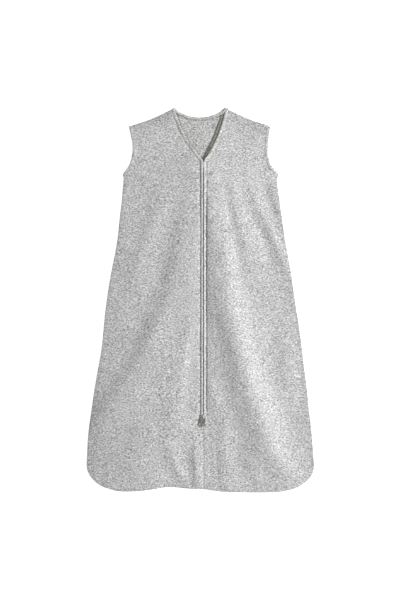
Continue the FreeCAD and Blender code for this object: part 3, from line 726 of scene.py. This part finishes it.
def knit_material(name, shade=1.0, tint=(1.0, 1.0, 1.0), wale=0.0011, course=0.0008):
    """Heather jersey: pale and dark fibres blended in short streaks, over rows of loops."""
    material, nodes, links, surface = shader(name, 0.92)
    surface.inputs["Sheen Weight"].default_value = 0.25
    surface.inputs["Sheen Roughness"].default_value = 0.6
    # Scales are cycles per metre along X, Y and Z.
    streaks = noise(nodes, links, stretched(nodes, links, (300, 700, 300)), 1.0, 1.0, 0.5)
    slanted = noise(nodes, links, stretched(nodes, links, (360, 760, 360), 0.42), 1.0, 1.0, 0.5)
    fibres = noise(nodes, links, stretched(nodes, links, (900, 3200, 900), 0.1), 1.0, 2.0, 0.7)
    patches = noise(nodes, links, stretched(nodes, links, (45, 60, 45)), 1.0, 2.0, 0.5)
    loops = knit_loops(nodes, links, wale, course)
    mixed = summed(nodes, links, scaled(nodes, links, streaks, 0.42),
                   scaled(nodes, links, slanted, 0.36), scaled(nodes, links, fibres, 0.18),
                   scaled(nodes, links, patches, 0.04), scaled(nodes, links, loops, 0.035))
    greys = [(0.37, 0.08), (0.45, 0.34), (0.52, 0.58), (0.59, 0.84), (0.68, 1.0)]
    stops = [(place, tuple(min(1.0, grey * shade * t) for t in tint)) for place, grey in greys]
    # Darkened by the mesh attribute: partly seam allowances, partly painted shade along the
    # shoulders.
    colour = darkened(nodes, links, ramp(nodes, links, mixed, stops), "allowance_and_painted_shade")
    links.new(colour, surface.inputs["Base Color"])
    relief = summed(nodes, links, loops, scaled(nodes, links, fibres, 0.8))
    bump(nodes, links, surface, relief, 0.5, 0.00025)
    return material


def tape_material():
    """Woven zip tape: a fine twill."""
    material, nodes, links, surface = shader("zip_tape_weave", 0.85)
    surface.inputs["Sheen Weight"].default_value = 0.2
    weave = nodes.new("ShaderNodeTexWave")
    weave.wave_type = "BANDS"
    weave.bands_direction = "DIAGONAL"
    weave.inputs["Scale"].default_value = 1.0
    links.new(stretched(nodes, links, (420, 420, 420)), weave.inputs["Vector"])
    grain = noise(nodes, links, stretched(nodes, links, (900, 300, 900)), 1.0)
    mixed = summed(nodes, links, scaled(nodes, links, weave.outputs["Fac"], 0.3), grain)
    links.new(ramp(nodes, links, mixed, [(0.3, 0.30), (1.0, 0.48)]), surface.inputs["Base Color"])
    bump(nodes, links, surface, mixed, 0.3, 0.0003)
    return material


def plastic_material(name, dark, light, roughness):
    """Moulded or drawn plastic with faint clouding."""
    material, nodes, links, surface = shader(name, roughness)
    cloud = noise(nodes, links, stretched(nodes, links, (300, 300, 300)), 1.0, 2.0)
    links.new(ramp(nodes, links, cloud, [(0.3, dark), (0.7, light)]), surface.inputs["Base Color"])
    bump(nodes, links, surface, cloud, 0.08, 0.0002)
    return material


def metal_material(name, dark, light, roughness):
    """Plated metal: brushed a little, duller in patches."""
    material, nodes, links, surface = shader(name, roughness)
    surface.inputs["Metallic"].default_value = 1.0
    wear = noise(nodes, links, stretched(nodes, links, (260, 700, 260)), 1.0, 3.0, 0.6)
    links.new(ramp(nodes, links, wear, [(0.3, dark), (0.7, light)]), surface.inputs["Base Color"])
    links.new(ramp(nodes, links, wear, [(0.3, roughness - 0.08), (0.75, roughness + 0.12)]),
              surface.inputs["Roughness"])
    bump(nodes, links, surface, wear, 0.06, 0.0001)
    return material


KNIT = knit_material("heather_knit")
# The back's knit is darker and warmer: partly its purl side, partly painted shade, since the
# inside lies in partial shadow.
KNIT_BACK_PURL_AND_SHADE = knit_material("heather_knit_back_purl_and_shade", shade=0.93, tint=(1.0, 0.995, 0.98))
KNIT_BAND = knit_material("heather_binding", wale=0.0008, course=0.0007)
# Dark olive knit for the neck facings: partly their own tint, partly painted shade under the V's
# raised edges.
KNIT_INSIDE_PAINTED_SHADE = knit_material("heather_facing_painted_shade", shade=0.44, tint=(1.0, 1.0, 0.86),
                           wale=0.0008, course=0.0007)
TAPE = tape_material()
COIL = plastic_material("coil_nylon", 0.58, 0.72, 0.35)
THREAD = plastic_material("sewing_thread", 0.42, 0.62, 0.8)
# Near-black thread for the back neck seam, dark enough to paint the shaded ditch below the back
# binding.
SHADE_DARK_THREAD = plastic_material("seam_thread_painted_shade", 0.08, 0.16, 0.8)
# Darkened, olive nickel for the slider body and pull: painted shade and dark reflection on the
# plated metal.
SHADED_NICKEL = metal_material("nickel_with_painted_shade", (0.17, 0.165, 0.135), (0.36, 0.35, 0.31), 0.34)
BRIGHT = metal_material("bright_nickel", (0.62, 0.61, 0.59), (0.84, 0.83, 0.81), 0.26)


def paint(piece, material):
    piece.data.materials.clear()
    piece.data.materials.append(material)


# ---------------------------------------------------------------- placing


def follow(piece):
    """The piece keeps its place, with its transform put into its mesh."""
    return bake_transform(piece)


def word(side):
    return "left" if side == LEFT else "right"


# ---------------------------------------------------------------- cloth pieces

def seam_points():
    """Lines that need points of their own: beside the centre seam and its allowances."""
    beside_seam = [-3.0, -1.6, 1.6, 3.0]
    beside_allowances = [edge + off for edge in SEAM_ALLOWANCE for off in (-1.6, -0.3, 1.0)]
    top, foot = SLOT_FOOT - 2, HEM + 3
    return [evenly([(ZIP_X + across, top), (ZIP_X + across, foot)], 3.5)
            for across in beside_seam + beside_allowances]


def front_loop(side):
    """Outline of one half of the front, out to its bound edges."""
    shoulder, armhole, seam = shoulder_line(), armhole_line(), side_line()
    if side == LEFT:
        shoulder, armhole, seam = (line * [-1, 1] for line in (shoulder, armhole, seam))
    neck = v_edge(side)
    slot_x = ZIP_X + side * SLOT_HALF
    top = neck[np.argmin(abs(neck[:, 0] - slot_x))][1]
    neck = neck[neck[:, 1] > top + 1]
    seam_x = ZIP_X + side * SEAM_GAP
    slot = evenly([(slot_x, SLOT_FOOT + 6), (slot_x, top)], EDGE_STEP)
    centre = evenly([(seam_x, HEM), (seam_x, SLOT_FOOT - 1)], EDGE_STEP)
    hem = evenly([seam[-1], (seam_x, HEM)], EDGE_STEP)
    return np.vstack([shoulder[:-1], armhole[:-1], seam[:-1], hem[:-1], centre, slot, neck[:-1]])


def make_front(side):
    """One half of the front, from its side seam to the zip."""
    loop = front_loop(side)
    piece = cloth_piece(f"front_{word(side)}_cloth", loop, front_height,
                        extra_lines=seam_points())
    paint(piece, KNIT)
    follow(piece)
    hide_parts(f"front_{word(side)}_panel", f"front_{word(side)}_edge",
                f"front_{word(side)}_lapel")


def back_loop():
    """Outline of the back, out to its bound edges."""
    right = np.vstack([shoulder_line()[:-1], armhole_line()[:-1], side_line()])
    hem = evenly([right[-1], right[-1] * [-1, 1]], EDGE_STEP)
    return np.vstack([right[:-1], hem[:-1], mirror(right)[:-1], back_neck_line()[:-1]])


def make_back():
    """The whole back, in one layer under the front."""
    loop = back_loop()
    piece = cloth_piece("back_cloth", loop, back_height, spacing=5.0)
    paint(piece, KNIT_BACK_PURL_AND_SHADE)
    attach(piece, "bag")
    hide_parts("back_panel")


def make_facing():
    """Narrow strip of knit behind the centre seam."""
    low, high = SEAM_ALLOWANCE
    left, right = ZIP_X + low + 1, ZIP_X + high - 1
    top, foot = SLOT_FOOT - 4, HEM + 8
    corners = [(left, top), (right, top), (right, foot), (left, foot)]
    sides = zip(corners, corners[1:] + corners[:1])
    loop = np.vstack([evenly(ends, EDGE_STEP)[:-1] for ends in sides])
    piece = cloth_piece("centre_facing_cloth", loop, lambda p: front_height(p) - 1.7)
    paint(piece, KNIT_BACK_PURL_AND_SHADE)
    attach(piece, "bag")
    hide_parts("centre_facing")


# ---------------------------------------------------------------- bound edges

def band_profile(half_width, thickness):
    """Section of a folded binding: rounded at the edge, pressed down at its seam."""
    t = thickness / 2
    h = half_width
    return [(-h, 0), (-h + 0.3, 0.75 * t), (-h + 1.0, t), (0, 1.05 * t), (h - 1.3, 0.85 * t),
            (h - 0.4, 0.35 * t), (h, -0.2 * t), (h - 0.6, -0.8 * t), (0, -t), (-h + 1.0, -t),
            (-h + 0.3, -0.75 * t)]


def turned(profile):
    """The section for a path walked the other way round."""
    return [(-sideways, up) for sideways, up in profile][::-1]


def lip_middle(side):
    return (LIP_INNER[side] + LIP_OUTER) / 2


def edge_profiles(side, depth):
    """Sections of the strip: a flat binding that turns into a rolled lip as depth grows."""
    band = band_profile(BINDING / 2, BINDING_THICK)
    lip = [(across - lip_middle(side), up) for across, up in LIP_SECTION[side]]
    if side == RIGHT:
        band, lip = turned(band), turned(lip)
    depth = depth[:, None, None]
    return np.array(band)[None] * (1 - depth) + np.array(lip)[None] * depth


def near_slider(y):
    """1 where the slider holds the lips apart, 0 away from it."""
    return np.exp(-((y - SLIDER_Y + 1.5) / 6.5) ** 2)


def edge_path(side):
    """Middle of the front neck binding and the lip: neck point, V foot, slider, end."""
    neck = offset_path(v_edge(side)[::-1], -side * BINDING / 2)
    neck = np.vstack([neck[:1] + (neck[0] - neck[1]) / 2, neck])
    across = (neck[:, 0] - ZIP_X) * side
    neck = neck[across > lip_middle(side) + 0.5]
    y = np.arange(neck[-1][1] - 3.0, SLOT_FOOT + 0.5, -2.0)
    x = ZIP_X + side * (lip_middle(side) + LIP_PUSH[side] * near_slider(y))
    return evenly(np.vstack([neck, np.stack([x, y], 1)]), 2.0)


def make_edge(side):
    """Neck binding and zip lip of one side, in one strip, and the stitches beside it."""
    flat = edge_path(side)
    depth = smoothstep(V_FOOT[1] + 14, V_FOOT[1] - 8, flat[:, 1])
    path = np.column_stack([flat, front_height(flat)])
    lip_z = LIP_Z + LIP_RISE_AT_SLIDER * near_slider(flat[:, 1])
    path[:, 2] = path[:, 2] * (1 - depth) + depth * lip_z
    path[:, 2] += 0.25 * (1 - depth)
    piece = sweep(f"neck_edge_and_lip_{word(side)}", path, edge_profiles(side, depth))
    crease_free(piece)
    paint(piece, KNIT_BAND)
    follow(piece)
    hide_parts(f"neck_binding_{word(side)}", f"zip_lip_{word(side)}")
    seam = offset_path(flat, side * -(BINDING / 2 + 0.6))
    thread = np.column_stack([seam, front_height(seam) + CLOTH / 2 - 0.02])
    rows = tubes(f"edge_stitches_{word(side)}", stitch_lines(thread), 0.17)
    paint(rows, THREAD)
    follow(rows)


def crease_free(piece):
    """One round of subdivision on a swept strip."""
    soft = piece.modifiers.new("rounding", "SUBSURF")
    soft.levels = soft.render_levels = 1
    return finished(piece)


# How far each facing reaches past the V's edge, which sets how wide its painted shade is: heights,
# and the reach at each.
FACING_SHADE_REACH = {
    LEFT: ([V_FOOT[1], NECK - 40, NECK - 10, NECK], [0.8, 1.5, 4.6, 2.0]),
    RIGHT: ([V_FOOT[1], V_FOOT[1] + 30, NECK - 6, NECK], [4.0, 6.6, 7.4, 2.4]),
}


def facing_path(side):
    """The V edge from the neck point to just above the zip."""
    line = v_edge(side)[::-1]
    return evenly(line[line[:, 1] > V_FOOT[1] + 5], 2.0)


def make_neck_facing(side):
    """Inner half of the binding: a narrow band that slopes from the V edge to the back, whose dark
    olive colour also paints the shade under the V's edges.
    """
    flat = facing_path(side)
    reach = np.interp(flat[:, 1], *FACING_SHADE_REACH[side])
    edge = offset_path(flat, -side * 0.8)
    high = front_height(edge) - 0.9
    vertices, columns = [], np.linspace(0, 1, 6)
    inner = [offset_path(flat, side * reach[:, None] * share) for share in columns]
    low = np.minimum(back_height(inner[-1]) + 2.1, high - 0.5)
    for share, places in zip(columns, inner):
        height = high + (low - high) * (share**1.3)
        vertices.append(np.column_stack([places if share else edge, height]))
    rows = len(flat)
    faces = grid_faces(len(columns), rows)
    piece = new_piece(f"neck_facing_{word(side)}", np.vstack(vertices), faces)
    thicken(piece, 0.7)
    # The dark olive knit paints the shade under the V's edges.
    paint(piece, KNIT_INSIDE_PAINTED_SHADE)
    follow(piece)


def make_back_neck():
    """Binding of the back's neck edge, with its seam stitches."""
    flat = evenly(offset_path(back_neck_line(), BINDING / 2), 2.0)
    path = on_cloth(flat, back_height, 0.35)
    piece = sweep("back_neck_binding", path,
                  turned(band_profile(BINDING / 2, BACK_BINDING_THICK)))
    crease_free(piece)
    paint(piece, KNIT_BACK_PURL_AND_SHADE)
    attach(piece, "bag")
    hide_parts("neck_binding_back")
    seam = on_cloth(offset_path(flat, BINDING / 2 + 0.7), back_height, CLOTH / 2 + 0.8)
    rows = tubes("back_neck_stitches", stitch_lines(seam), 0.3)
    # The near-black thread paints the shaded line below the binding.
    paint(rows, SHADE_DARK_THREAD)
    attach(rows, "bag")


def make_armhole(side):
    """Band round one armhole, on the front layer and on the back layer."""
    line = armhole_line()
    if side == LEFT:
        line = line * [-1, 1]
    flat = evenly(offset_path(line, side * ARMHOLE_BAND / 2), 2.0)
    profile = band_profile(ARMHOLE_BAND / 2, ARMHOLE_BAND_THICK)
    profile = turned(profile) if side == RIGHT else profile
    for layer, height in (("front", front_height), ("back", back_height)):
        path = on_cloth(flat, height, 0.15)
        piece = sweep(f"armhole_{layer}_band_{word(side)}", path, profile)
        crease_free(piece)
        paint(piece, KNIT_BAND)
        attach(piece, "bag")
        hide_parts(f"armhole_binding_{word(side)}")
        stitched = offset_path(flat, side * (ARMHOLE_BAND / 2 - 1.3))
        row = on_cloth(stitched, height, 1.0)
        rows = tubes(f"armhole_{layer}_stitches_{word(side)}", stitch_lines(row), 0.2)
        paint(rows, THREAD)
        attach(rows, "bag")


# ---------------------------------------------------------------- zip

TAPE_INNER = 2.45
TAPE_OUTER = 14.8
TAPE_THICK = 0.45
TAPE_PUSH = 1.1
COIL_PITCH = 1.5
COIL_WIRE = 0.33
COIL_REACH = (-0.25, 2.2)
COIL_PUSH = 1.15
COIL_POINTS = 9


def below_wedge(y):
    """1 below the slider's wedge, where the two halves of the zip part, 0 above it."""
    return smoothstep(SLIDER_Y + 2, SLIDER_Y - 4, y)


def make_tape(side):
    """Woven tape beside one coil."""
    y = np.arange(TAPE_LOW[1], TAPE_HIGH[1], EDGE_STEP)
    columns = np.linspace(TAPE_INNER, TAPE_OUTER, 7)
    push = TAPE_PUSH * below_wedge(y)
    fixed = (columns - TAPE_INNER) / (TAPE_OUTER - TAPE_INNER)
    across = columns + push[:, None] * (1 - fixed)
    places = np.broadcast_to(y[:, None], across.shape)
    heights = np.full(across.shape, TAPE_Z)
    vertices = np.stack([ZIP_X + side * across, places, heights], 2).reshape(-1, 3)
    faces = grid_faces(len(y), len(columns))
    piece = new_piece(f"zip_tape_cloth_{word(side)}", vertices, faces)
    thicken(piece, TAPE_THICK)
    paint(piece, TAPE)
    follow(piece)
    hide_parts(f"zip_tape_{word(side)}")


def squarer(wave, power):
    """A sine wave with flatter tops, for powers under 1."""
    return np.sign(wave) * np.abs(wave) ** power


def make_coil(side):
    """Continuous nylon coil: flattened turns that reach across the zip line."""
    radius_z = (COIL_HIGH[2] - COIL_LOW[2]) / 2 - COIL_WIRE
    middle_z = (COIL_HIGH[2] + COIL_LOW[2]) / 2
    top, foot = COIL_HIGH[1], COIL_LOW[1] + 0.6
    shift = 0 if side == RIGHT else COIL_PITCH / 2
    turns = np.arange(0, (top - foot - shift) / COIL_PITCH, 1 / COIL_POINTS)
    turns = turns[:len(turns) // COIL_POINTS * COIL_POINTS]
    angle = turns * 2 * math.pi
    y = top - shift - turns * COIL_PITCH
    middle, half = sum(COIL_REACH) / 2, (COIL_REACH[1] - COIL_REACH[0]) / 2
    across = middle + half * squarer(np.cos(angle), 0.6) + COIL_PUSH * below_wedge(y)
    z = middle_z + radius_z * squarer(np.sin(angle), 0.8)
    line = np.stack([ZIP_X + side * across, y, z], 1)
    piece = tubes(f"zip_coil_turns_{word(side)}", [line], COIL_WIRE, 5)
    paint(piece, COIL)
    follow(piece)
    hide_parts(f"zip_coil_{word(side)}")


def bevelled(node, width, material):
    """A CAD node that stays, with its edges rounded and a material of its own."""
    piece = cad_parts[node]
    edge = piece.modifiers.new("rounded_edges", "BEVEL")
    edge.width = width * MM
    edge.segments = 2
    edge.limit_method = "ANGLE"
    edge.angle_limit = math.radians(35)
    edge.harden_normals = True
    piece.data.materials.clear()
    piece.data.materials.append(material)


def make_hardware():
    """Slider, pull, stops and the separable end, which keep their CAD shapes."""
    # The slider body and the pull take the darkened nickel, which paints their shade.
    bevelled("slider_body", 0.3, SHADED_NICKEL)
    bevelled("pull_tab", 0.28, SHADED_NICKEL)
    bevelled("slider_crown", 0.3, BRIGHT)
    bevelled("slider_lock_spring", 0.1, BRIGHT)
    for node in ("retainer_box", "insert_pin", "retainer_pin", "bottom_stop_left",
                 "bottom_stop_right"):
        bevelled(node, 0.2, BRIGHT)


def make_bar_tack():
    """Dense zigzag of thread that closes the foot of the zip."""
    low, high = node_box("bar_tack")
    count = 25
    x = np.linspace(low[0], high[0], count)
    y = np.where(np.arange(count) % 2, low[1], high[1])
    flat = np.stack([x, y], 1)
    line = np.column_stack([flat, front_height(flat) + CLOTH / 2 + 0.25])
    line[:, 2] = line[:, 2].mean()
    piece = tubes("bar_tack_thread", [evenly(line, 0.6)], 0.24)
    paint(piece, THREAD)
    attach(piece, "bag")
    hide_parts("bar_tack")


# ---------------------------------------------------------------- stage

def make_floor():
    """A plain white floor."""
    half = 4.0 / MM
    corners = [(-half, -half, 0), (half, -half, 0), (half, half, 0), (-half, half, 0)]
    floor = new_piece("floor", corners, [(0, 1, 2, 3)], smooth=False)
    material, _, _, surface = shader("white_floor", 0.9)
    surface.inputs["Base Color"].default_value = (0.95, 0.95, 0.95, 1)
    surface.inputs["Emission Color"].default_value = (1, 1, 1, 1)
    surface.inputs["Emission Strength"].default_value = 0.75
    floor.data.materials.append(material)


def disk_light(name, size, power):
    """A round soft light, in metres and watts."""
    data = bpy.data.lights.new(name, "AREA")
    data.shape = "DISK"
    data.size = size
    data.energy = power
    lamp = bpy.data.objects.new(name, data)
    bpy.context.scene.collection.objects.link(lamp)
    return lamp


def make_light():
    """A soft light low on the right, a weaker one overhead, and a pale sky."""
    key = disk_light("key", 1.3, 400)
    direction = Vector((0.84, 0.13, 0.55)).normalized()
    key.location = direction * 6.0
    key.rotation_mode = "QUATERNION"
    key.rotation_quaternion = direction.to_track_quat("Z", "Y")
    overhead = disk_light("overhead", 5.0, 46)
    overhead.location = (0, 0.3, 4.6)
    world = bpy.data.worlds.new("sky")
    world.use_nodes = True
    background = world.node_tree.nodes["Background"]
    background.inputs["Color"].default_value = (1, 1, 1, 1)
    background.inputs["Strength"].default_value = 0.20
    bpy.context.scene.world = world


def make_camera():
    """Straight above the bag, with its neck up in the picture."""
    data = bpy.data.cameras.new("camera")
    data.lens = 100
    data.sensor_width = 36
    camera = bpy.data.objects.new("camera", data)
    picture_height = 1.1738
    distance = picture_height * data.lens / data.sensor_width
    camera.location = (0.001, -0.001, distance + 0.008)
    bpy.context.scene.collection.objects.link(camera)
    bpy.context.scene.camera = camera
    bpy.context.scene.view_settings.view_transform = "Standard"


# ---------------------------------------------------------------- all

make_camera()
make_light()
make_floor()
make_back()
make_facing()
make_back_neck()
make_bar_tack()
make_hardware()
for each_side in (LEFT, RIGHT):
    make_front(each_side)
    make_edge(each_side)
    make_neck_facing(each_side)
    make_armhole(each_side)
    make_tape(each_side)
    make_coil(each_side)
